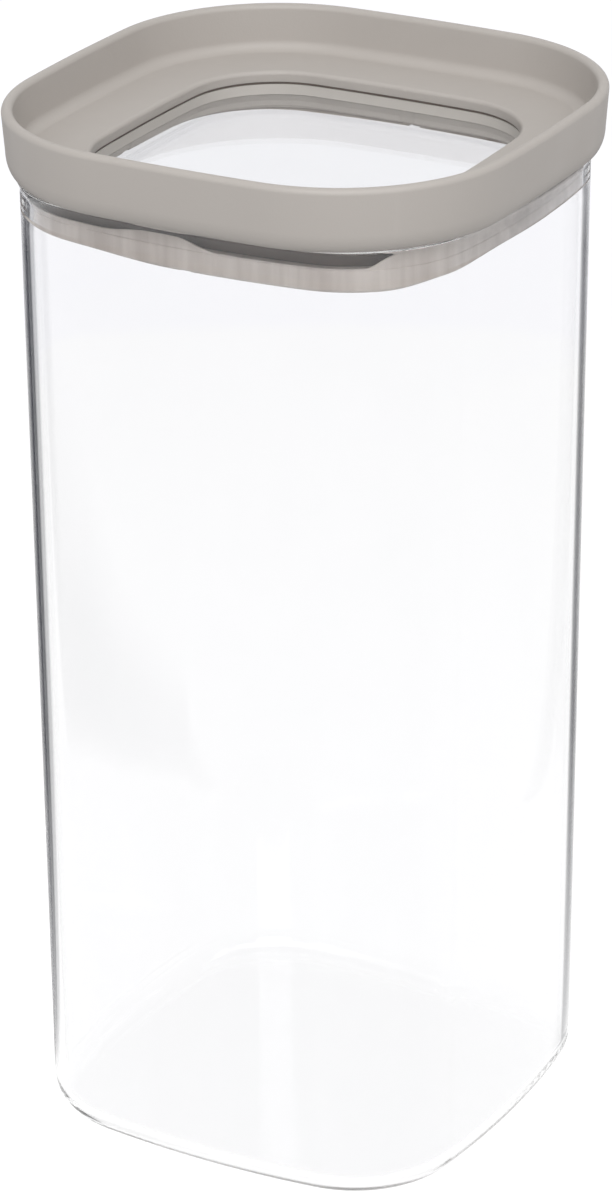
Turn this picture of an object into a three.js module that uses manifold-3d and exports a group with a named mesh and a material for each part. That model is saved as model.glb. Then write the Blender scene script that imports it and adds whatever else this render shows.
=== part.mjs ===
// A square glass storage canister with a lift-off lid.
// The lid is a plastic frame with a clear window, closed underneath by a plug ring that carries the jar seal.
// Millimetres, +Z up. The origin is the middle of the jar's foot, on the surface that the jar stands on.
import * as THREE from "three";
import { mergeVertices } from "three/addons/utils/BufferGeometryUtils.js";
import Module from "manifold-3d";

const wasm = await Module();
wasm.setup();

// ---- driving dimensions ----

// Outlines are squares with bowed sides: half is the distance from the axis to the middle of a side.
const LID_OUTLINE = { half: 52.5, cornerRadius: 35.5, sideRadius: 430 };
const JAR_OUTLINE = { half: 48.65, cornerRadius: 26, sideRadius: 200 };
const SIDE_STEPS = 4;
const CORNER_STEPS = 8;
const FLARE_STEPS = 4;

const STACK_GAP = 0.1; // between the pieces that are clamped over each other in the lid
const FIT_GAP = 0.3; // between the pieces that slide into each other

const JAR_HEIGHT = 201.2;
const JAR_WALL = 2.2;
const JAR_DRAFT = 1.4; // each side of the jar is this much further in at the foot than at the rim
const RIM_FLARE = 0.65;
const RIM_FLARE_HEIGHT = 3.2;
const RIM_FLARE_POWER = 2.4; // the flare starts gently and steepens towards the rim
const RIM_ROUND = 0.3; // outer edge of the rim
const MOUTH_ROUND = 0.8; // inner edge of the rim
const FOOT_RADIUS = 6.5;
const FLOOR_THICKNESS = 2.4;
const FLOOR_RADIUS = FOOT_RADIUS - JAR_WALL; // the wall keeps its thickness round the foot
const FOOT_RING = 5; // width of the flat ring that the jar stands on
const PUSH_UP = 0.4; // the foot is raised by this much inside its ring
const PUSH_UP_SLOPE = 4; // width of the slope from the ring up to the raised middle

// An inset is a distance inwards from the lid's outline, or where the comment says so from the jar's.
const LID_TOP = 214.3;
const LID_SEAT = JAR_HEIGHT + FIT_GAP; // underside of the frame, which rests on the jar's rim
const RIM_WALL = 2.3;
const RIM_LEAN = 0.7; // the rim's inner face leans in by this much down to the shelf
const SKIRT_DRAFT = 0.55;
const SKIRT_TUCK = 2.1; // the skirt curves in by this much over SKIRT_CURVE, down to its lower edge
const SKIRT_CURVE = 4.2;
const SHELF_TOP = 205;
const SHELF_UNDERSIDE = 202.8;
const SHELF_FILLET = 2.4;
const WINDOW_INSET = 16.9;
const LIP_RADIUS = 0.9;
const GROOVE_INSET = 3.4; // the groove over the jar's rim keeps the frame's walls even in thickness
const SEAT_INSET = 0.7; // outer edge of the seat, from the jar's outline

const PANE_SEAL_THICKNESS = 0.4;
const PANE_SEAL_WIDTH = 2.6;
const PANE_SEAL_BOTTOM = SHELF_UNDERSIDE - STACK_GAP - PANE_SEAL_THICKNESS;

const BORE_INSET = WINDOW_INSET - FIT_GAP; // inner edge of the plug's lip
const BORE_DEPTH = 2.1;
const PLUG_LIP_TOP = PANE_SEAL_BOTTOM - STACK_GAP;
const PLUG_LIP_BOTTOM = PLUG_LIP_TOP - BORE_DEPTH;
const PLUG_INSIDE_INSET = 11.8;
const PLUG_BOTTOM = 194;
const PLUG_INSET = 5; // outside of the plug ring, from the jar's outline
const PLUG_BEVEL = 0.3; // inner lower edge of the plug ring

const PANE_INSET = PLUG_INSIDE_INSET + FIT_GAP;
const PANE_THICKNESS = 2;
const PANE_TOP = PLUG_LIP_BOTTOM - STACK_GAP;
const PANE_BOTTOM = PANE_TOP - PANE_THICKNESS;

const SEAL_BOTTOM = 192.6;
const SEAL_TOP = 197.3;
const SEAL_MIDDLE = (SEAL_BOTTOM + SEAL_TOP) / 2;
const SEAL_RIB = 1; // how far the plug's rib reaches into the groove in the back of the seal
const SEAL_RIB_HEIGHT = 1;
const SEAL_LEAD = { in: 1.2, up: 1.6 }; // the seal's lower edge is rounded, to lead it into the jar
const SEAL_ROUND = 0.5; // upper edge of the seal
const NOTCH_WIDTH = 2.5;
const NOTCH_DEPTH = 0.4;

// ---- outlines and sections ----

// The points and outward normals of an outline, anticlockwise from the -Y end of the +X side.
function outlinePoints({ half, cornerRadius, sideRadius }) {
  const sideCentre = sideRadius - half;
  const reach = sideRadius - cornerRadius;
  // The corner arc's centre lies on the diagonal, at reach from the centre of the side arc that it meets.
  const corner = (Math.sqrt(2 * reach ** 2 - sideCentre ** 2) - sideCentre) / 2;
  const meet = Math.atan2(corner, corner + sideCentre);
  const points = [];
  for (let quarter = 0; quarter < 4; quarter++) {
    const turn = (quarter * Math.PI) / 2;
    const add = (centreX, centreY, radius, angle) => {
      const point = new THREE.Vector2(
        centreX + radius * Math.cos(angle),
        centreY + radius * Math.sin(angle),
      );
      const origin = new THREE.Vector2();
      points.push({
        point: point.rotateAround(origin, turn),
        normal: new THREE.Vector2(Math.cos(angle), Math.sin(angle)).rotateAround(origin, turn),
      });
    };
    for (let i = 0; i < SIDE_STEPS; i++)
      add(-sideCentre, 0, sideRadius, THREE.MathUtils.lerp(-meet, meet, i / SIDE_STEPS));
    for (let i = 0; i < CORNER_STEPS; i++)
      add(corner, corner, cornerRadius, THREE.MathUtils.lerp(meet, Math.PI / 2 - meet, i / CORNER_STEPS));
  }
  return points;
}

const lidOutline = outlinePoints(LID_OUTLINE);
const jarOutline = outlinePoints(JAR_OUTLINE);

// Section points: a height and how far inside an outline the section runs there.
const onLid = (inset, z) => ({ outline: lidOutline, inset, z });
const onJar = (inset, z) => ({ outline: jarOutline, inset, z });
const onAxis = (z) => ({ z });

// An arc of a section. Angles are in degrees from straight out (0), through up (90), to straight in (180).
function arc(on, centreInset, centreZ, radiusIn, radiusUp, from, to, steps) {
  return Array.from({ length: steps + 1 }, (_, i) => {
    const angle = THREE.MathUtils.degToRad(THREE.MathUtils.lerp(from, to, i / steps));
    return on(centreInset - radiusIn * Math.cos(angle), centreZ + radiusUp * Math.sin(angle));
  });
}

// Carries a section round its outlines. It runs anticlockwise, with outwards to the right and up upwards:
// a ring's section closes on itself, and a solid's starts and ends on the axis.
function sweep(section) {
  const around = lidOutline.length;
  const positions = [];
  const rows = section.map(({ outline, inset, z }) => {
    const first = positions.length / 3;
    if (!outline) {
      positions.push(0, 0, z);
      return () => first;
    }
    for (const { point, normal } of outline)
      positions.push(point.x - inset * normal.x, point.y - inset * normal.y, z);
    return (i) => first + (i % around);
  });
  const isRing = Boolean(section[0].outline);
  const strips = isRing ? rows.length : rows.length - 1;
  const index = [];
  for (let j = 0; j < strips; j++) {
    const lower = rows[j];
    const upper = rows[(j + 1) % rows.length];
    for (let i = 0; i < around; i++) {
      if (lower(i) !== lower(i + 1)) index.push(lower(i), lower(i + 1), upper(i + 1));
      if (upper(i) !== upper(i + 1)) index.push(lower(i), upper(i + 1), upper(i));
    }
  }
  const geometry = new THREE.BufferGeometry();
  geometry.setAttribute("position", new THREE.Float32BufferAttribute(positions, 3));
  geometry.setIndex(index);
  geometry.computeVertexNormals();
  return geometry;
}

// ---- cutting ----

function toSolid(geometry) {
  const bare = geometry.clone();
  bare.deleteAttribute("normal");
  bare.deleteAttribute("uv");
  const merged = mergeVertices(bare);
  return new wasm.Manifold(
    new wasm.Mesh({
      numProp: 3,
      vertProperties: new Float32Array(merged.attributes.position.array),
      triVerts: new Uint32Array(merged.index.array),
    }),
  );
}

function toGeometry(solid) {
  const { vertProperties, triVerts } = solid.getMesh();
  const geometry = new THREE.BufferGeometry();
  geometry.setAttribute("position", new THREE.BufferAttribute(vertProperties, 3));
  geometry.setIndex(new THREE.BufferAttribute(triVerts, 1));
  geometry.computeVertexNormals();
  return geometry;
}

// Cuts a notch into the lower edge of a ring at the middle of each of its four sides.
function notchLowerEdge(ring, lowestZ) {
  const length = 2 * LID_OUTLINE.half;
  const height = 2 * NOTCH_DEPTH;
  return toGeometry(
    [0, Math.PI / 2].reduce((solid, turn) => {
      const bar = new THREE.BoxGeometry(length, NOTCH_WIDTH, height);
      bar.rotateZ(turn);
      bar.translate(0, 0, lowestZ);
      return solid.subtract(toSolid(bar));
    }, toSolid(ring)),
  );
}

// ---- pieces ----

// The jar: drafted walls that carry on round the foot into an even floor, and a rim that flares outwards.
function glassBody() {
  const footInset = JAR_DRAFT + FOOT_RADIUS;
  const ringInset = footInset + FOOT_RING;
  const floorInset = JAR_DRAFT + JAR_WALL + FLOOR_RADIUS;
  const floorZ = FLOOR_THICKNESS + FLOOR_RADIUS;
  const flareBottom = JAR_HEIGHT - RIM_FLARE_HEIGHT;
  const flareRise = RIM_FLARE_HEIGHT - RIM_ROUND;
  const flare = Array.from({ length: FLARE_STEPS }, (_, i) => {
    const t = i / FLARE_STEPS;
    return onJar(-RIM_FLARE * t ** RIM_FLARE_POWER, flareBottom + flareRise * t);
  });
  return sweep([
    onAxis(PUSH_UP),
    onJar(ringInset + PUSH_UP_SLOPE, PUSH_UP),
    onJar(ringInset, 0),
    ...arc(onJar, footInset, FOOT_RADIUS, FOOT_RADIUS, FOOT_RADIUS, -90, 0, 6),
    ...flare,
    ...arc(onJar, RIM_ROUND - RIM_FLARE, JAR_HEIGHT - RIM_ROUND, RIM_ROUND, RIM_ROUND, 0, 90, 2),
    ...arc(onJar, JAR_WALL - MOUTH_ROUND, JAR_HEIGHT - MOUTH_ROUND, MOUTH_ROUND, MOUTH_ROUND, 90, 180, 3),
    ...arc(onJar, floorInset, floorZ, FLOOR_RADIUS, FLOOR_RADIUS, 0, -90, 6),
    onAxis(FLOOR_THICKNESS),
  ]);
}

// The outer frame of the lid: a raised rim, a shelf round the window, and a seat that rests on the jar's rim.
function lidFrame() {
  const rimRadius = RIM_WALL / 2;
  const shelfInset = RIM_WALL + RIM_LEAN + SHELF_FILLET;
  const lipInset = WINDOW_INSET - LIP_RADIUS;
  const lipCentreZ = SHELF_TOP - LIP_RADIUS;
  const skirtTop = LID_SEAT + SKIRT_CURVE;
  const filletZ = SHELF_TOP + SHELF_FILLET;
  return sweep([
    ...arc(onLid, SKIRT_DRAFT + SKIRT_TUCK, skirtTop, SKIRT_TUCK, SKIRT_CURVE, -90, 0, 5),
    ...arc(onLid, rimRadius, LID_TOP - rimRadius, rimRadius, rimRadius, 0, 180, 6),
    ...arc(onLid, shelfInset, filletZ, SHELF_FILLET, SHELF_FILLET, 0, -90, 4),
    ...arc(onLid, lipInset, lipCentreZ, LIP_RADIUS, LIP_RADIUS, 90, 180, 3),
    onLid(WINDOW_INSET, SHELF_UNDERSIDE),
    onJar(PLUG_INSET - FIT_GAP, SHELF_UNDERSIDE),
    onJar(PLUG_INSET - FIT_GAP, LID_SEAT),
    onJar(SEAT_INSET, LID_SEAT),
    onJar(SEAT_INSET, SHELF_UNDERSIDE),
    onLid(GROOVE_INSET, SHELF_UNDERSIDE),
    onLid(GROOVE_INSET, LID_SEAT),
  ]);
}

// A flat plate with the lid's outline, bonded up against the plug's lip from below.
function windowPane() {
  return sweep([
    onAxis(PANE_BOTTOM),
    onLid(PANE_INSET, PANE_BOTTOM),
    onLid(PANE_INSET, PANE_TOP),
    onAxis(PANE_TOP),
  ]);
}

// The flat gasket between the frame's lip and the plug ring. Its inner edge shows all round the window.
function paneSeal() {
  const top = PANE_SEAL_BOTTOM + PANE_SEAL_THICKNESS;
  const outside = BORE_INSET - PANE_SEAL_WIDTH;
  return sweep([
    onLid(BORE_INSET, PANE_SEAL_BOTTOM),
    onLid(outside, PANE_SEAL_BOTTOM),
    onLid(outside, top),
    onLid(BORE_INSET, top),
  ]);
}

// The ring that goes down into the jar. The lip at its top has the pane under it and the gasket in a rebate,
// and a rib round its outside holds the seal.
function plugRing() {
  const top = SHELF_UNDERSIDE - STACK_GAP;
  const rebateInset = BORE_INSET - PANE_SEAL_WIDTH - FIT_GAP;
  const ribBottom = SEAL_MIDDLE - SEAL_RIB_HEIGHT / 2;
  const ribTop = SEAL_MIDDLE + SEAL_RIB_HEIGHT / 2;
  const ring = sweep([
    onLid(PLUG_INSIDE_INSET - PLUG_BEVEL, PLUG_BOTTOM),
    onJar(PLUG_INSET, PLUG_BOTTOM),
    onJar(PLUG_INSET, ribBottom),
    onJar(PLUG_INSET - SEAL_RIB, ribBottom),
    onJar(PLUG_INSET - SEAL_RIB, ribTop),
    onJar(PLUG_INSET, ribTop),
    onJar(PLUG_INSET, top),
    onLid(rebateInset, top),
    onLid(rebateInset, PLUG_LIP_TOP),
    onLid(BORE_INSET, PLUG_LIP_TOP),
    onLid(BORE_INSET, PLUG_LIP_BOTTOM),
    onLid(PLUG_INSIDE_INSET, PLUG_LIP_BOTTOM),
    onLid(PLUG_INSIDE_INSET, PLUG_BOTTOM + PLUG_BEVEL),
  ]);
  return notchLowerEdge(ring, PLUG_BOTTOM);
}

// The soft ring that presses on the inside of the jar: rounded below, and grooved behind for the plug's rib.
function sealRing() {
  const outside = JAR_WALL + FIT_GAP;
  const inside = PLUG_INSET - FIT_GAP;
  const groove = PLUG_INSET - SEAL_RIB - FIT_GAP;
  const grooveHalf = SEAL_RIB_HEIGHT / 2 + FIT_GAP;
  const leadZ = SEAL_BOTTOM + SEAL_LEAD.up;
  const roundZ = SEAL_TOP - SEAL_ROUND;
  const ring = sweep([
    onJar(inside, SEAL_BOTTOM),
    ...arc(onJar, outside + SEAL_LEAD.in, leadZ, SEAL_LEAD.in, SEAL_LEAD.up, -90, 0, 4),
    ...arc(onJar, outside + SEAL_ROUND, roundZ, SEAL_ROUND, SEAL_ROUND, 0, 90, 2),
    onJar(inside, SEAL_TOP),
    onJar(inside, SEAL_MIDDLE + grooveHalf),
    onJar(groove, SEAL_MIDDLE + grooveHalf),
    onJar(groove, SEAL_MIDDLE - grooveHalf),
    onJar(inside, SEAL_MIDDLE - grooveHalf),
  ]);
  return notchLowerEdge(ring, SEAL_BOTTOM);
}

// ---- assembly ----

const glass = new THREE.MeshStandardMaterial({
  color: 0xf6f8f8,
  roughness: 0.03,
  metalness: 0,
  transparent: true,
  opacity: 0.2,
});
const clearPlastic = new THREE.MeshStandardMaterial({
  color: 0xf1f2f4,
  roughness: 0.06,
  metalness: 0,
  transparent: true,
  opacity: 0.25,
});
const taupePlastic = new THREE.MeshStandardMaterial({ color: 0xb2aca6, roughness: 0.55, metalness: 0 });
const taupeSilicone = new THREE.MeshStandardMaterial({ color: 0xb4afa9, roughness: 0.7, metalness: 0 });
const gasketSilicone = new THREE.MeshStandardMaterial({ color: 0x6f6862, roughness: 0.75, metalness: 0 });

function piece(name, geometry, material) {
  const mesh = new THREE.Mesh(geometry, material);
  mesh.name = name;
  return mesh;
}

const jar = new THREE.Group();
jar.add(piece("glass_body", glassBody(), glass));

const lid = new THREE.Group();
lid.add(
  piece("lid_frame", lidFrame(), taupePlastic),
  piece("window_pane", windowPane(), clearPlastic),
  piece("pane_seal", paneSeal(), gasketSilicone),
  piece("plug_ring", plugRing(), taupePlastic),
  piece("seal_ring", sealRing(), taupeSilicone),
);

const canister = new THREE.Group();
canister.add(jar, lid);

export default canister;
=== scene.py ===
# A square glass storage canister with a lift-off lid, in a plain white studio. Metres, +Z up.
import math

import bpy
from mathutils import Matrix, Vector


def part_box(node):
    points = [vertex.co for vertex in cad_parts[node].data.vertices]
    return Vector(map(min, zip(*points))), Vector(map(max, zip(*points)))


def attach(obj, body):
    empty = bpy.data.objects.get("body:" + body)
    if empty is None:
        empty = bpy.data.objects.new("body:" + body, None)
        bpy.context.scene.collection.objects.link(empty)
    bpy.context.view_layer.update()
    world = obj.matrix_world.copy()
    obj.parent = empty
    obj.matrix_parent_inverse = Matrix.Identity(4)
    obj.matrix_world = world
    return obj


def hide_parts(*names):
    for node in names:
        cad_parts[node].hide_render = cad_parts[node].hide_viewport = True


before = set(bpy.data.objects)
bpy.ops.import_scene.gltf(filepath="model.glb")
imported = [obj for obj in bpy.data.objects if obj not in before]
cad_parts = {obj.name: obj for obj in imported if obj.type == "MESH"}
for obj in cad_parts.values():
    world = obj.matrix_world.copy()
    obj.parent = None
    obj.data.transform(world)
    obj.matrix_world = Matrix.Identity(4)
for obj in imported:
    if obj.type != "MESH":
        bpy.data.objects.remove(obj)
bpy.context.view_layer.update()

MM = 0.001

# ---- sizes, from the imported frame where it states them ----

JAR_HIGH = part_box("glass_body")[1]
FRAME_LOW, FRAME_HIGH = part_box("lid_frame")
PANE_LOW, PANE_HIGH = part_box("window_pane")
GASKET_LOW, GASKET_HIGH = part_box("pane_seal")
PLUG_LOW, PLUG_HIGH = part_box("plug_ring")
SEAL_LOW, SEAL_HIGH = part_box("seal_ring")

# The jar.
RIM_FLARE = 0.65 * MM
RIM_FLARE_HEIGHT = 3.2 * MM
RIM_FLARE_POWER = 2.4
RIM_ROUND = 0.3 * MM
MOUTH_ROUND = 0.8 * MM
JAR_HEIGHT = JAR_HIGH.z
JAR_WALL = 2.2 * MM
JAR_DRAFT = 1.4 * MM
FOOT_RADIUS = 6.5 * MM
FOOT_RING = 5 * MM
FLOOR_RADIUS = FOOT_RADIUS - JAR_WALL
FLOOR_THICKNESS = 2.4 * MM
PUSH_UP = 0.4 * MM
JAR_HALF = JAR_HIGH.x - RIM_FLARE
JAR_CORNER_RADIUS = 26 * MM
JAR_SIDE_RADIUS = 200 * MM

# The lid's frame.
LID_HALF = FRAME_HIGH.x
LID_CORNER_RADIUS = 35.5 * MM
LID_SIDE_RADIUS = 430 * MM
LID_TOP = FRAME_HIGH.z
LID_SEAT = FRAME_LOW.z
RIM_WALL = 2.3 * MM
RIM_LEAN = 0.7 * MM
SKIRT_DRAFT = 0.55 * MM
SKIRT_TUCK = 2.1 * MM
SKIRT_CURVE = 4.2 * MM
SHELF_TOP = 205 * MM
SHELF_UNDERSIDE = 202.8 * MM
SHELF_FILLET = 2.4 * MM
WINDOW_INSET = 16.9 * MM
LIP_RADIUS = 0.9 * MM
GROOVE_INSET = 3.4 * MM
SEAT_INSET = 0.7 * MM
FIT_GAP = 0.3 * MM

# The window and the plug ring under it.
PANE_INSET = LID_HALF - PANE_HIGH.x
PANE_BOND = 0.1 * MM
BORE_INSET = WINDOW_INSET - FIT_GAP
GASKET_OUTSIDE = LID_HALF - GASKET_HIGH.x
PLUG_INSIDE_INSET = 11.8 * MM
PLUG_INSET = 5 * MM
PLUG_BEVEL = 0.3 * MM
# The steps of the plug ring's section that have colours of their own: painted shade outside above the seal,
# and painted light on the bore and the inner wall.
PLUG_OUTSIDE_STEP = 5
PLUG_BORE_STEP = 9
PLUG_INSIDE_STEP = 11

# The seal.
SEAL_MIDDLE = (SEAL_LOW.z + SEAL_HIGH.z) / 2
SEAL_RIB = 1 * MM
SEAL_RIB_HEIGHT = 1 * MM
SEAL_GAP = 0.04 * MM
SEAL_LEAD_IN = 1.2 * MM
SEAL_LEAD_UP = 1 * MM
SEAL_SHOULDER = 0.1 * MM
LIP_SETBACK = 0.12 * MM
LIP_THICKNESS = 0.5 * MM
LIP_RISE = 3.3 * MM
# How far the upper lip stands up, by angle round the axis in degrees: 1 is LIP_RISE, 0 is folded down.
LIP_HEIGHTS = (
    (-180, 1),
    (-141, 1),
    (-134, 0.25),
    (-112, 0.25),
    (-99, 0.75),
    (-93, 0.75),
    (-82, 0),
    (-50, 0),
    (-43, 1),
    (43, 1),
    (52, 0),
    (80, 0),
    (92, 1),
    (112, 1),
    (118, 0),
    (142, 0),
    (155, 1),
    (180, 1),
)
# How far the lower edge is pushed up, in millimetres, by angle round the axis in degrees.
EDGE_RISES = (
    (-180, 0),
    (-160, 0),
    (-140, 1),
    (-122, 1),
    (-95, 0),
    (-46, 0),
    (-33, 1),
    (-13, 2),
    (10, 1.7),
    (30, 1.5),
    (60, 0),
    (180, 0),
)

NOTCH_WIDTH = 2.5 * MM
NOTCH_DEPTH = 0.4 * MM
NOTCH_EDGE = 0.05 * MM
NOTCH_MARGIN = 0.01 * MM

# ---- outlines and sections ----

SIDE_STEPS = 16
CORNER_STEPS = 32
FLARE_STEPS = 12
SHARP_ANGLE = math.radians(50)


class Outline:
    """A square with bowed sides: the points round it at an inset, anticlockwise from the +X side.

    The middle of each side has extra points where a notch starts and ends.
    """

    def __init__(self, half, corner_radius, side_radius):
        side_centre = side_radius - half
        reach = side_radius - corner_radius
        corner = (math.sqrt(2 * reach**2 - side_centre**2) - side_centre) / 2
        meet = math.atan2(corner, corner + side_centre)
        notch_ends = [NOTCH_WIDTH / 2 / side_radius, (NOTCH_WIDTH / 2 + NOTCH_EDGE) / side_radius]
        side_angles = [-meet + 2 * meet * i / SIDE_STEPS for i in range(SIDE_STEPS)]
        side_angles += notch_ends + [-angle for angle in notch_ends]
        self.arcs = []
        for quarter in range(4):
            turn = Matrix.Rotation(quarter * math.pi / 2, 2)
            for angle in sorted(side_angles):
                self._add(turn, Vector((-side_centre, 0)), side_radius, angle)
            for i in range(CORNER_STEPS):
                angle = meet + (math.pi / 2 - 2 * meet) * i / CORNER_STEPS
                self._add(turn, Vector((corner, corner)), corner_radius, angle)

    def _add(self, turn, centre, radius, angle):
        out = Vector((math.cos(angle), math.sin(angle)))
        self.arcs.append((turn @ (centre + radius * out), turn @ out))

    def at(self, inset, scale=1):
        return [(point - inset * normal) * scale for point, normal in self.arcs]


LID_OUTLINE = Outline(LID_HALF, LID_CORNER_RADIUS, LID_SIDE_RADIUS)
JAR_OUTLINE = Outline(JAR_HALF, JAR_CORNER_RADIUS, JAR_SIDE_RADIUS)
AROUND = len(JAR_OUTLINE.arcs)


def on_lid(inset, z):
    return LID_OUTLINE, inset, z, 1


def on_jar(inset, z, scale=1):
    return JAR_OUTLINE, inset, z, scale


def on_axis(z):
    return None, 0, z, 1


def arc(on, inset, z, radius_in, radius_up, start, end, steps):
    """Section points on an arc. Angles run from straight out (0), through up (90), to straight in (180)."""
    points = []
    for i in range(steps + 1):
        angle = math.radians(start + (end - start) * i / steps)
        points.append(on(inset - radius_in * math.cos(angle), z + radius_up * math.sin(angle)))
    return points


def line(a, b, steps):
    """Section points from a to b, which lie on one outline, without b."""
    return [
        (a[0], a[1] + (b[1] - a[1]) * i / steps, a[2] + (b[2] - a[2]) * i / steps, 1)
        for i in range(steps)
    ]


def dome(inset, z, rise, steps):
    """Section points on the jar's outline as it shrinks from an inset to the axis and rises to z + rise."""
    points = []
    for i in range(1, steps):
        t = i / steps
        points.append(on_jar(inset, z + rise * (1 - (1 - t) ** 2), 1 - t))
    return points + [on_axis(z + rise)]


def sweep(name, section):
    """Carries a section round its outlines. A ring's section closes on itself, and a solid's runs from
    axis to axis. The faces come in steps of the section, AROUND faces each for a ring."""
    verts, rows = [], []
    for outline, inset, z, scale in section:
        first = len(verts)
        if outline is None:
            verts.append((0, 0, z))
            rows.append([first] * AROUND)
            continue
        verts += [(p.x, p.y, z) for p in outline.at(inset, scale)]
        rows.append(list(range(first, first + AROUND)))
    is_ring = section[0][0] is not None
    faces = []
    for j in range(len(rows) if is_ring else len(rows) - 1):
        lower, upper = rows[j], rows[(j + 1) % len(rows)]
        for i in range(AROUND):
            k = (i + 1) % AROUND
            face = [lower[i], lower[k], upper[k], upper[i]]
            faces.append([v for n, v in enumerate(face) if v not in face[:n]])
    mesh = bpy.data.meshes.new(name)
    mesh.from_pydata(verts, [], faces)
    mesh.validate()
    mesh.shade_smooth()
    mesh.set_sharp_from_angle(angle=SHARP_ANGLE)
    piece = bpy.data.objects.new(name, mesh)
    bpy.context.scene.collection.objects.link(piece)
    return piece


def notch_lower_edge(ring, lowest):
    """Cuts a notch into a ring's lower edge at the middle of each of its four sides."""
    for vertex in ring.data.vertices:
        if min(abs(vertex.co.x), abs(vertex.co.y)) < NOTCH_WIDTH / 2 + NOTCH_MARGIN:
            vertex.co.z = max(vertex.co.z, lowest + NOTCH_DEPTH)


# ---- node helpers ----


def new_material(name):
    material = bpy.data.materials.new(name)
    material.use_nodes = True
    return material, material.node_tree, material.node_tree.nodes["Principled BSDF"]


def node(tree, kind, inputs=(), **settings):
    made = tree.nodes.new(kind)
    for key, value in settings.items():
        setattr(made, key, value)
    for key, value in dict(inputs).items():
        socket = made.inputs[key]
        if isinstance(value, bpy.types.NodeSocket):
            tree.links.new(value, socket)
        else:
            socket.default_value = value
    return made


def noise(tree, coordinates, scale, detail=3, roughness=0.5):
    made = node(
        tree,
        "ShaderNodeTexNoise",
        {"Vector": coordinates, "Scale": scale, "Detail": detail, "Roughness": roughness},
    )
    return made.outputs["Fac"]


def ramp(tree, value, low, high, to_low, to_high):
    made = node(
        tree,
        "ShaderNodeMapRange",
        {"Value": value, "From Min": low, "From Max": high, "To Min": to_low, "To Max": to_high},
    )
    return made.outputs["Result"]


def math_node(tree, operation, *values):
    return node(tree, "ShaderNodeMath", dict(enumerate(values)), operation=operation).outputs["Value"]


def blend_colours(tree, factor, a, b):
    made = node(tree, "ShaderNodeMix", data_type="RGBA")
    tree.links.new(factor, made.inputs["Factor"])
    made.inputs["A"].default_value = (*a, 1)
    made.inputs["B"].default_value = (*b, 1)
    return made.outputs["Result"]


def object_coordinates(tree, scale=(1, 1, 1)):
    coordinates = tree.nodes.new("ShaderNodeTexCoord").outputs["Object"]
    mapping = node(tree, "ShaderNodeMapping", {"Vector": coordinates, "Scale": scale})
    return mapping.outputs["Vector"]


# ---- materials ----

GLASS_CLEAR = (0.962, 0.962, 0.966)
GLASS_SMEARED = (0.95, 0.95, 0.955)
GLASS_WAVE = 0.02 * MM
WINDOW_CLEAR = (0.945, 0.95, 0.96)
WINDOW_SMEARED = (0.925, 0.93, 0.94)


def clear_material(name, ior, clear, smeared, smear_scale, smear_roughness):
    """Clear glass or plastic with faint smears."""
    material, tree, shader = new_material(name)
    shader.inputs["Transmission Weight"].default_value = 1
    shader.inputs["IOR"].default_value = ior
    smears = noise(tree, object_coordinates(tree), smear_scale, detail=4)
    tree.links.new(ramp(tree, smears, 0.4, 0.8, 0.0, smear_roughness), shader.inputs["Roughness"])
    tree.links.new(blend_colours(tree, smears, clear, smeared), shader.inputs["Base Color"])
    return material


def glass_material():
    """Pressed glass, with the slight waviness of its mould."""
    material = clear_material("jar_glass", 1.5, GLASS_CLEAR, GLASS_SMEARED, 60, 0.012)
    tree = material.node_tree
    waves = noise(tree, object_coordinates(tree), 26, detail=1)
    bump = node(tree, "ShaderNodeBump", {"Height": waves, "Distance": GLASS_WAVE, "Strength": 1.0})
    tree.links.new(bump.outputs["Normal"], tree.nodes["Principled BSDF"].inputs["Normal"])
    return material


def window_material():
    return clear_material("window_plastic", 1.49, WINDOW_CLEAR, WINDOW_SMEARED, 90, 0.02)


def plastic_material(name, dark, light, roughness, grain):
    """Fine matt plastic or silicone: cloudy in colour, grained, and rubbed smoother in places."""
    material, tree, shader = new_material(name)
    coordinates = object_coordinates(tree)
    clouds = noise(tree, coordinates, 35, detail=3)
    tree.links.new(blend_colours(tree, clouds, dark, light), shader.inputs["Base Color"])
    texture = noise(tree, coordinates, 2600, detail=2)
    bump = node(tree, "ShaderNodeBump", {"Height": texture, "Distance": grain, "Strength": 1.0})
    tree.links.new(bump.outputs["Normal"], shader.inputs["Normal"])
    rubbed = noise(tree, coordinates, 120, detail=4)
    matt = ramp(tree, rubbed, 0.3, 0.75, roughness + 0.05, roughness - 0.05)
    tree.links.new(matt, shader.inputs["Roughness"])
    return material


LID_GRAIN = 0.02 * MM
SILICONE_GRAIN = 0.01 * MM
TAUPE_DARK = (0.395, 0.366, 0.34)
TAUPE_LIGHT = (0.415, 0.386, 0.36)
# Painted shade: nearly black plastic on the plug ring's outside above the seal, standing in for the shade of
# the deep recess between it and the glass.
GROOVE_SHADE_DARK = (0.06, 0.04, 0.03)
GROOVE_SHADE_LIGHT = (0.15, 0.118, 0.098)
# Painted light: lighter copies of the lid's colour for the plug ring's bore and inner wall, which sit in
# shade inside the lid.
BORE_BRIGHTENED_DARK = (0.49, 0.462, 0.43)
BORE_BRIGHTENED_LIGHT = (0.52, 0.492, 0.46)
PLUG_WALL_BRIGHTENED_DARK = (0.62, 0.575, 0.53)
PLUG_WALL_BRIGHTENED_LIGHT = (0.66, 0.615, 0.57)
GASKET_DARK = (0.14, 0.115, 0.1)
GASKET_LIGHT = (0.17, 0.14, 0.122)
# The seal's colours: a lighter copy of the silicone's own colour, painted light for the shade it sits in
# behind the glass and under the lid's skirt.
SEAL_BRIGHTENED_DARK = (0.665, 0.605, 0.555)
SEAL_BRIGHTENED_LIGHT = (0.74, 0.68, 0.63)
STREAK = (0.77, 0.745, 0.735)
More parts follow.
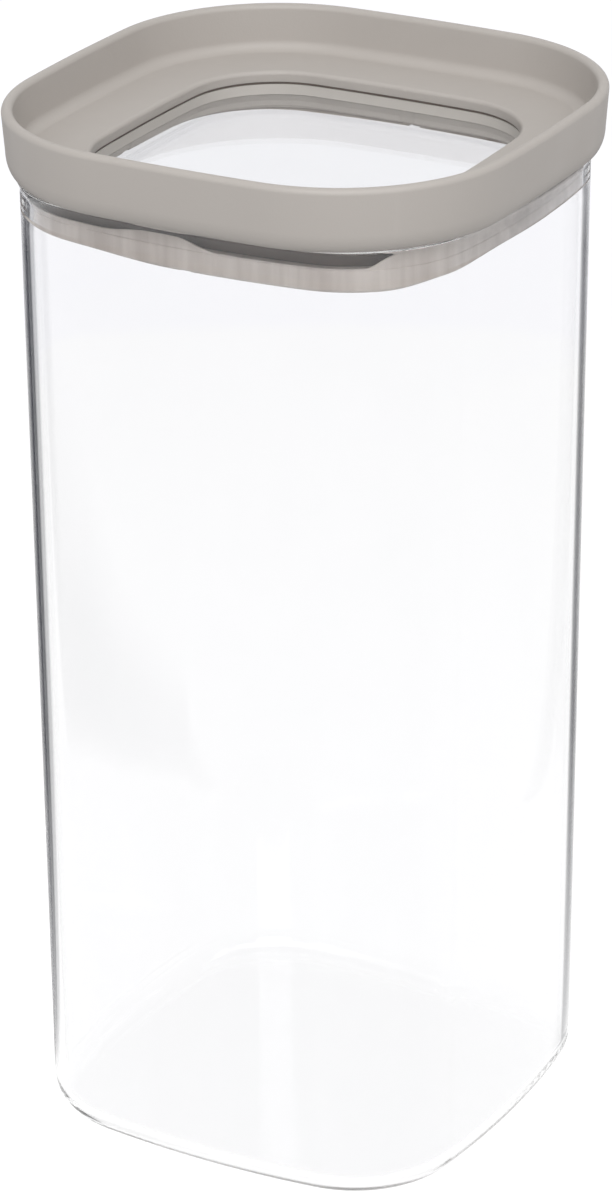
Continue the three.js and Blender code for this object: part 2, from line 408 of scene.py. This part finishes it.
# Darker blotches on one side of the seal: their tint, the direction of that side, and the stretch across it
# where they start and where they are full.
SIDE_BLOTCH = (0.5, 0.465, 0.445)
SIDE_BLOTCH_DIRECTION = (0.873, 0.487, 0)
SIDE_BLOTCH_FROM = 26 * MM
SIDE_BLOTCH_TO = 39 * MM


def lid_material():
    return plastic_material("lid_plastic", TAUPE_DARK, TAUPE_LIGHT, 0.5, LID_GRAIN)


# Painted shade for the recess above the seal, with little shine.
def groove_shade_material():
    material = plastic_material("groove_painted_shade", GROOVE_SHADE_DARK, GROOVE_SHADE_LIGHT, 0.6, LID_GRAIN)
    material.node_tree.nodes["Principled BSDF"].inputs["Specular IOR Level"].default_value = 0.2
    return material


# Painted light on the plug ring's bore.
def bore_brightened_material():
    return plastic_material("bore_painted_light", BORE_BRIGHTENED_DARK, BORE_BRIGHTENED_LIGHT, 0.5, LID_GRAIN)


# Painted light on the plug ring's inner wall.
def plug_wall_brightened_material():
    return plastic_material("plug_wall_painted_light", PLUG_WALL_BRIGHTENED_DARK, PLUG_WALL_BRIGHTENED_LIGHT, 0.5, LID_GRAIN)


def multiply_colour(tree, colour, factor, tint):
    """A colour socket multiplied by a tint, as far as the factor goes."""
    mix = node(tree, "ShaderNodeMix", {"Factor": factor}, data_type="RGBA", blend_type="MULTIPLY")
    tree.links.new(colour, mix.inputs["A"])
    mix.inputs["B"].default_value = (*tint, 1)
    return mix.outputs["Result"]


def seal_material():
    """Silicone pressed against the glass, in a lighter copy of its own colour that is painted light for the
    shade it sits in behind the glass and under the lid: upright streaks where it touches it more or less
    closely, and darker blotches on one side."""
    material = plastic_material("seal_silicone_painted_light", SEAL_BRIGHTENED_DARK, SEAL_BRIGHTENED_LIGHT, 0.45, SILICONE_GRAIN)
    tree = material.node_tree
    base = tree.nodes["Principled BSDF"].inputs["Base Color"]
    streaks = noise(tree, object_coordinates(tree, (1, 1, 0.08)), 190, detail=3, roughness=0.6)
    streaked = multiply_colour(tree, base.links[0].from_socket, ramp(tree, streaks, 0.35, 0.65, 0, 1), STREAK)
    coordinates = object_coordinates(tree)
    across = node(tree, "ShaderNodeVectorMath", {0: coordinates, 1: SIDE_BLOTCH_DIRECTION}, operation="DOT_PRODUCT")
    side = ramp(tree, across.outputs["Value"], SIDE_BLOTCH_FROM, SIDE_BLOTCH_TO, 0, 1)
    blotches = ramp(tree, noise(tree, coordinates, 260, detail=4), 0.38, 0.62, 0.5, 1)
    side_blotched = multiply_colour(tree, streaked, math_node(tree, "MULTIPLY", side, blotches), SIDE_BLOTCH)
    tree.links.new(side_blotched, base)
    return material


def gasket_material():
    return plastic_material("gasket_silicone", GASKET_DARK, GASKET_LIGHT, 0.6, SILICONE_GRAIN)


# ---- pieces ----


def glass_body():
    foot_inset = JAR_DRAFT + FOOT_RADIUS
    ring_inset = foot_inset + FOOT_RING
    floor_inset = JAR_DRAFT + JAR_WALL + FLOOR_RADIUS
    floor_z = FLOOR_THICKNESS + FLOOR_RADIUS
    flare_bottom = JAR_HEIGHT - RIM_FLARE_HEIGHT
    flare_rise = RIM_FLARE_HEIGHT - RIM_ROUND
    mouth_z = JAR_HEIGHT - MOUTH_ROUND
    section = dome(ring_inset, 0, PUSH_UP, 12)[::-1]
    section += line(on_jar(ring_inset, 0), on_jar(foot_inset, 0), 3)
    section += arc(on_jar, foot_inset, FOOT_RADIUS, FOOT_RADIUS, FOOT_RADIUS, -90, 0, 24)[:-1]
    section += line(on_jar(JAR_DRAFT, FOOT_RADIUS), on_jar(0, flare_bottom), 24)
    for i in range(FLARE_STEPS):
        t = i / FLARE_STEPS
        section.append(on_jar(-RIM_FLARE * t**RIM_FLARE_POWER, flare_bottom + flare_rise * t))
    section += arc(on_jar, RIM_ROUND - RIM_FLARE, JAR_HEIGHT - RIM_ROUND, RIM_ROUND, RIM_ROUND, 0, 90, 8)
    section += arc(on_jar, JAR_WALL - MOUTH_ROUND, mouth_z, MOUTH_ROUND, MOUTH_ROUND, 90, 180, 8)[:-1]
    section += line(on_jar(JAR_WALL, mouth_z), on_jar(JAR_WALL + JAR_DRAFT, floor_z), 24)
    section += arc(on_jar, floor_inset, floor_z, FLOOR_RADIUS, FLOOR_RADIUS, 0, -90, 20)
    section += dome(floor_inset, FLOOR_THICKNESS, 0, 6)
    return sweep("glass_jar", section)


def lid_frame():
    rim = RIM_WALL / 2
    shelf_inset = RIM_WALL + RIM_LEAN + SHELF_FILLET
    lip_inset = WINDOW_INSET - LIP_RADIUS
    skirt_inset = SKIRT_DRAFT + SKIRT_TUCK
    skirt_top = LID_SEAT + SKIRT_CURVE
    shelf_z = SHELF_TOP + SHELF_FILLET
    section = arc(on_lid, skirt_inset, skirt_top, SKIRT_TUCK, SKIRT_CURVE, -90, 0, 20)
    section += arc(on_lid, rim, LID_TOP - rim, rim, rim, 0, 180, 20)
    section += arc(on_lid, shelf_inset, shelf_z, SHELF_FILLET, SHELF_FILLET, 0, -90, 12)
    section += arc(on_lid, lip_inset, SHELF_TOP - LIP_RADIUS, LIP_RADIUS, LIP_RADIUS, 90, 180, 10)
    section += [
        on_lid(WINDOW_INSET, SHELF_UNDERSIDE),
        on_jar(PLUG_INSET - FIT_GAP, SHELF_UNDERSIDE),
        on_jar(PLUG_INSET - FIT_GAP, LID_SEAT),
        on_jar(SEAT_INSET, LID_SEAT),
        on_jar(SEAT_INSET, SHELF_UNDERSIDE),
        on_lid(GROOVE_INSET, SHELF_UNDERSIDE),
        on_lid(GROOVE_INSET, LID_SEAT),
    ]
    return sweep("lid_frame_moulding", section)


def window_pane():
    section = [
        on_axis(PANE_LOW.z),
        on_lid(PANE_INSET, PANE_LOW.z),
        on_lid(PANE_INSET, PANE_HIGH.z),
        on_axis(PANE_HIGH.z),
    ]
    return sweep("clear_window", section)


def pane_seal():
    section = [
        on_lid(BORE_INSET, GASKET_LOW.z),
        on_lid(GASKET_OUTSIDE, GASKET_LOW.z),
        on_lid(GASKET_OUTSIDE, GASKET_HIGH.z),
        on_lid(BORE_INSET, GASKET_HIGH.z),
    ]
    return sweep("window_gasket", section)


def plug_ring():
    lip_top = GASKET_LOW.z - PANE_BOND
    lip_bottom = PANE_HIGH.z + PANE_BOND
    rebate = GASKET_OUTSIDE - FIT_GAP
    rib_bottom = SEAL_MIDDLE - SEAL_RIB_HEIGHT / 2
    rib_top = SEAL_MIDDLE + SEAL_RIB_HEIGHT / 2
    section = [
        on_lid(PLUG_INSIDE_INSET - PLUG_BEVEL, PLUG_LOW.z),
        on_jar(PLUG_INSET, PLUG_LOW.z),
        on_jar(PLUG_INSET, rib_bottom),
        on_jar(PLUG_INSET - SEAL_RIB, rib_bottom),
        on_jar(PLUG_INSET - SEAL_RIB, rib_top),
        on_jar(PLUG_INSET, rib_top),
        on_jar(PLUG_INSET, PLUG_HIGH.z),
        on_lid(rebate, PLUG_HIGH.z),
        on_lid(rebate, lip_top),
        on_lid(BORE_INSET, lip_top),
        on_lid(BORE_INSET, lip_bottom),
        on_lid(PLUG_INSIDE_INSET, lip_bottom),
        on_lid(PLUG_INSIDE_INSET, PLUG_LOW.z + PLUG_BEVEL),
    ]
    ring = sweep("plug_moulding", section)
    notch_lower_edge(ring, PLUG_LOW.z)
    # The outside above the seal gets painted shade, and the bore and the inner wall get painted light; the
    # rest is the lid's plastic.
    for finish in (lid_material, groove_shade_material, bore_brightened_material, plug_wall_brightened_material):
        ring.data.materials.append(finish())
    for slot, step in enumerate((PLUG_OUTSIDE_STEP, PLUG_BORE_STEP, PLUG_INSIDE_STEP), 1):
        for face in ring.data.polygons[step * AROUND : (step + 1) * AROUND]:
            face.material_index = slot
    return ring


def around_axis(table, vertex):
    """The value for a vertex in a table of (angle round the axis, value), smoothed between entries."""
    angle = math.degrees(math.atan2(vertex.co.y, vertex.co.x))
    for (start, low), (end, high) in zip(table, table[1:]):
        if angle <= end:
            t = (angle - start) / (end - start)
            return low + (high - low) * t * t * (3 - 2 * t)
    return table[-1][1]


def seal_ring():
    inside = PLUG_INSET - FIT_GAP
    groove = PLUG_INSET - SEAL_RIB - FIT_GAP
    groove_half = SEAL_RIB_HEIGHT / 2 + FIT_GAP
    face = JAR_WALL + SEAL_GAP
    lip = face + LIP_SETBACK
    lip_half = LIP_THICKNESS / 2
    shoulder_z = SEAL_HIGH.z - SEAL_SHOULDER
    lead_z = SEAL_LOW.z + SEAL_LEAD_UP
    section = [on_jar(inside, SEAL_LOW.z)]
    section += arc(on_jar, face + SEAL_LEAD_IN, lead_z, SEAL_LEAD_IN, SEAL_LEAD_UP, -90, 0, 12)
    section += arc(on_jar, lip, SEAL_HIGH.z - 0.3 * MM, LIP_SETBACK, 0.2 * MM, 0, 90, 6)
    lip_start = len(section) * AROUND
    section += arc(on_jar, lip + lip_half, SEAL_HIGH.z, lip_half, 0.15 * MM, 0, 180, 6)
    lip_end = len(section) * AROUND
    section += [
        on_jar(lip + LIP_THICKNESS, shoulder_z),
        on_jar(inside, shoulder_z),
        on_jar(inside, SEAL_MIDDLE + groove_half),
        on_jar(groove, SEAL_MIDDLE + groove_half),
        on_jar(groove, SEAL_MIDDLE - groove_half),
        on_jar(inside, SEAL_MIDDLE - groove_half),
    ]
    ring = sweep("jar_seal", section)
    # The thin upper lip stands up against the glass but is folded down in places.
    for vertex in ring.data.vertices[lip_start:lip_end]:
        vertex.co.z += LIP_RISE * around_axis(LIP_HEIGHTS, vertex)
    # The lower edge is pushed up unevenly as the lid goes in.
    for vertex in ring.data.vertices:
        height = (vertex.co.z - SEAL_LOW.z) / (SEAL_MIDDLE - SEAL_LOW.z)
        if height < 1:
            vertex.co.z += (1 - height) * around_axis(EDGE_RISES, vertex) * MM
    notch_lower_edge(ring, SEAL_LOW.z)
    return ring


PIECES = [
    (glass_body, glass_material, "jar", "glass_body", "jar_glass"),
    (lid_frame, lid_material, "lid", "lid_frame", "lid_plastic"),
    (window_pane, window_material, "lid", "window_pane", "window_plastic"),
    (pane_seal, gasket_material, "lid", "pane_seal", "gasket"),
    (plug_ring, None, "lid", "plug_ring", "lid_plastic"),
    (seal_ring, seal_material, "lid", "seal_ring", "seal"),
]

for build, finish, body, cad_node, slot in PIECES:
    piece = build()
    if finish:
        piece.data.materials.append(finish())
    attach(piece, body)
    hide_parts(cad_node)

# ---- studio ----

AZIMUTH = math.radians(29.15)
ELEVATION = math.radians(24.05)
ROLL = math.radians(-0.424)
DISTANCE = 0.9586
TARGET_Z = 0.10765
SENSOR = 36
LENS = 143.66
SHIFT_X = -0.004



def towards(azimuth, elevation):
    """The direction from the object at an azimuth from -Y towards +X, and an elevation."""
    level = math.cos(elevation)
    return Vector((math.sin(azimuth) * level, -math.cos(azimuth) * level, math.sin(elevation)))


back = towards(AZIMUTH, ELEVATION)
right = Vector((math.cos(AZIMUTH), math.sin(AZIMUTH), 0))
up = back.cross(right)

camera_data = bpy.data.cameras.new("camera")
camera_data.lens = LENS
camera_data.sensor_width = SENSOR
camera_data.shift_x = SHIFT_X
camera = bpy.data.objects.new("camera", camera_data)
axes = Matrix((right, up, back)).transposed() @ Matrix.Rotation(ROLL, 3, "Z")
camera.matrix_world = Matrix.Translation(Vector((0, 0, TARGET_Z)) + back * DISTANCE) @ axes.to_4x4()
bpy.context.scene.collection.objects.link(camera)
bpy.context.scene.camera = camera

scene = bpy.context.scene
scene.view_settings.view_transform = "Standard"
scene.cycles.max_bounces = 160
scene.cycles.glossy_bounces = 160
scene.cycles.transmission_bounces = 160


def stage_sheet(name, corners, material):
    """A flat sheet of the studio, not part of the object."""
    mesh = bpy.data.meshes.new(name)
    mesh.from_pydata(corners, [], [range(len(corners))])
    mesh.materials.append(material)
    sheet = bpy.data.objects.new(name, mesh)
    bpy.context.scene.collection.objects.link(sheet)
    return sheet


FLOOR_DROP = 0.05 * MM
FLOOR_SIZE = 6.0
TABLE_EDGE = 0.435
TABLE_EDGE_WIDTH = 0.01
TABLE_MIDDLE = 0.08
GLOW_MIDDLE = 1.072
GLOW_EDGE = 1.025
BEYOND_COLOUR = (0.978, 0.978, 1)
LAMP_SHARE = 0.5  # how bright the table is as a lamp for matt surfaces


def mirrored_light(tree, least, most):
    """1 for light that glass has mirrored one to three times, with least to most crossings of its surface."""
    path = tree.nodes.new("ShaderNodeLightPath").outputs
    middle, reach = (least + most) / 2, (most - least) / 2 + 0.5
    mirrored = math_node(tree, "COMPARE", path["Glossy Depth"], 2, 1.5)
    crossed = math_node(tree, "COMPARE", path["Transmission Depth"], middle, reach)
    return math_node(tree, "MULTIPLY", mirrored, crossed)


def floor_material():
    """A white table lit from below, a little dimmer outwards and cooler beyond its edge."""
    material, tree, shader = new_material("light_table")
    coordinates = tree.nodes.new("ShaderNodeTexCoord").outputs["Object"]
    distance = node(tree, "ShaderNodeVectorMath", {0: coordinates}, operation="LENGTH").outputs["Value"]
    shader.inputs["Base Color"].default_value = (0.02, 0.02, 0.02, 1)
    shader.inputs["Roughness"].default_value = 0.9
    shader.inputs["Specular IOR Level"].default_value = 0
    beyond = ramp(tree, distance, TABLE_EDGE, TABLE_EDGE + TABLE_EDGE_WIDTH, 0, 1)
    tree.links.new(blend_colours(tree, beyond, (1, 1, 1), BEYOND_COLOUR), shader.inputs["Emission Color"])
    glow = ramp(tree, distance, TABLE_MIDDLE, TABLE_EDGE, GLOW_MIDDLE, GLOW_EDGE)
    diffuse = tree.nodes.new("ShaderNodeLightPath").outputs["Is Diffuse Ray"]
    lamp = ramp(tree, diffuse, 0, 1, 1, LAMP_SHARE)
    tree.links.new(math_node(tree, "MULTIPLY", glow, lamp), shader.inputs["Emission Strength"])
    return material


reach = FLOOR_SIZE / 2
floor_corners = [(x * reach, y * reach, -FLOOR_DROP) for x, y in ((-1, -1), (1, -1), (1, 1), (-1, 1))]
stage_sheet("floor", floor_corners, floor_material())

# Black flags. Lengths are in metres from where a line of sight past the jar's side meets the table.
FLAG_NEAR = 0.001
FLAG_FADE = 0.16
FLAG_LEFT_NEAR = 0.75
FLAG_RIGHT_NEAR = 0.5
FLAG_FAR = 0.8
FLAG_FAR_FADE = 0.5
FLAG_HEIGHT = 1 * MM
FLAG_SPACING = 0.1 * MM
FLAG_WIDEST = 52
# How dense the flags are at each angle from straight back, in degrees.
FLAG_LEFT = ((8, 0), (15, 0.9), (20, 1), (35, 1), (38, 0.5), (45, 0.45), (50, 0))
FLAG_RIGHT = ((8, 0), (16, 0.8), (22, 0.95), (30, 0.85), (42, 0))
FLAG_COLOUR = (0.02, 0.022, 0.034)
FLAG_SIDE_DENSITY = 0.06
SILHOUETTE = 0.0545


def density_ramp(tree, angle, stops):
    """How dense a flag is at an angle from straight back."""
    share = ramp(tree, angle, 0, math.radians(FLAG_WIDEST), 0, 1)
    made = node(tree, "ShaderNodeValToRGB", {"Fac": share})
    elements = made.color_ramp.elements
    while len(elements) < len(stops):
        elements.new(0.5)
    for element, (degrees, density) in zip(elements, stops):
        element.position = degrees / FLAG_WIDEST
        element.color = (density, density, density, 1)
    return made.outputs["Color"]


def flag_material(stops, near, scale, least, most):
    """Black cloth with soft edges, seen only in light that glass has mirrored."""
    material = bpy.data.materials.new("black_flag")
    material.use_nodes = True
    tree = material.node_tree
    tree.nodes.clear()
    coordinates = tree.nodes.new("ShaderNodeTexCoord").outputs["Object"]
    split = node(tree, "ShaderNodeSeparateXYZ", {"Vector": coordinates}).outputs
    angle = math_node(tree, "ABSOLUTE", math_node(tree, "ARCTAN2", split["X"], split["Y"]))
    distance = node(tree, "ShaderNodeVectorMath", {0: coordinates}, operation="LENGTH").outputs["Value"]
    near_fade = ramp(tree, distance, FLAG_NEAR, FLAG_FADE, near * scale, scale)
    far_fade = ramp(tree, distance, FLAG_FAR_FADE, FLAG_FAR, 1, 0)
    fade = math_node(tree, "MULTIPLY", near_fade, far_fade)
    density = math_node(tree, "MULTIPLY", density_ramp(tree, angle, stops), fade)
    amount = math_node(tree, "MULTIPLY", density, mirrored_light(tree, least, most))
    clear = tree.nodes.new("ShaderNodeBsdfTransparent").outputs[0]
    black = node(tree, "ShaderNodeEmission", {"Color": (*FLAG_COLOUR, 1)}).outputs[0]
    mix = node(tree, "ShaderNodeMixShader", {"Fac": amount, 1: clear, 2: black}).outputs[0]
    output = tree.nodes.new("ShaderNodeOutputMaterial")
    tree.links.new(mix, output.inputs["Surface"])
    return material


def flags():
    """Black flags just over the table, behind the left and right edges of the glass. Each has its own
    height, because sheets that coincide hide each other."""
    height = FLAG_HEIGHT
    sides = (("flag_left", -1, FLAG_LEFT, FLAG_LEFT_NEAR), ("flag_right", 1, FLAG_RIGHT, FLAG_RIGHT_NEAR))
    for name, side, stops, near in sides:
        angles = [math.radians(side * stops[0][0]), math.radians(side * stops[-1][0])]
        corners = [(math.sin(a) * FLAG_NEAR, math.cos(a) * FLAG_NEAR, 0) for a in angles]
        corners += [(math.sin(a) * FLAG_FAR, math.cos(a) * FLAG_FAR, 0) for a in reversed(angles)]
        full = flag_material(stops, near, 1, 0, 4)
        faint = flag_material(stops, near, FLAG_SIDE_DENSITY, 2, 2)
        for quarter in range(4):
            flag = stage_sheet(f"{name}_{quarter}", corners, faint if quarter else full)
            turn = Matrix.Rotation(AZIMUTH + quarter * math.pi / 2, 4, "Z")
            flag.matrix_world = turn @ Matrix.Translation((side * SILHOUETTE, 0, height))
            height += FLAG_SPACING
            flag.visible_camera = False
            flag.visible_diffuse = False
            flag.visible_shadow = False


flags()


def softbox(name, azimuth, elevation, distance, width, height, radiance):
    """A rectangular lamp aimed at the object. Radiance is the brightness of its face."""
    light = bpy.data.lights.new(name, "AREA")
    light.shape = "RECTANGLE"
    light.size = width
    light.size_y = height
    light.energy = radiance * width * height * math.pi
    lamp = bpy.data.objects.new(name, light)
    direction = towards(math.radians(azimuth), math.radians(elevation))
    lamp.location = Vector((0, 0, TARGET_Z)) + direction * distance
    lamp.rotation_euler = direction.to_track_quat("Z", "Y").to_euler()
    lamp.visible_camera = False
    bpy.context.scene.collection.objects.link(lamp)


softbox("top_softbox", 35, 60, 1.3, 1.6, 0.1, 12)
softbox("front_softbox", 29, 40, 1.5, 0.9, 0.9, 3.3)


def studio_world():
    """White walls, a little brighter overhead."""
    world = bpy.data.worlds.new("studio")
    bpy.context.scene.world = world
    world.use_nodes = True
    tree = world.node_tree
    coordinates = tree.nodes.new("ShaderNodeTexCoord").outputs["Generated"]
    height = node(tree, "ShaderNodeSeparateXYZ", {"Vector": coordinates}).outputs["Z"]
    background = tree.nodes["Background"]
    background.inputs["Color"].default_value = (1, 1, 1, 1)
    diffuse = tree.nodes.new("ShaderNodeLightPath").outputs["Is Diffuse Ray"]
    walls = ramp(tree, diffuse, 0, 1, 0.95, 0.6)
    tree.links.new(ramp(tree, height, 0, 1, walls, 0.66), background.inputs["Strength"])


studio_world()
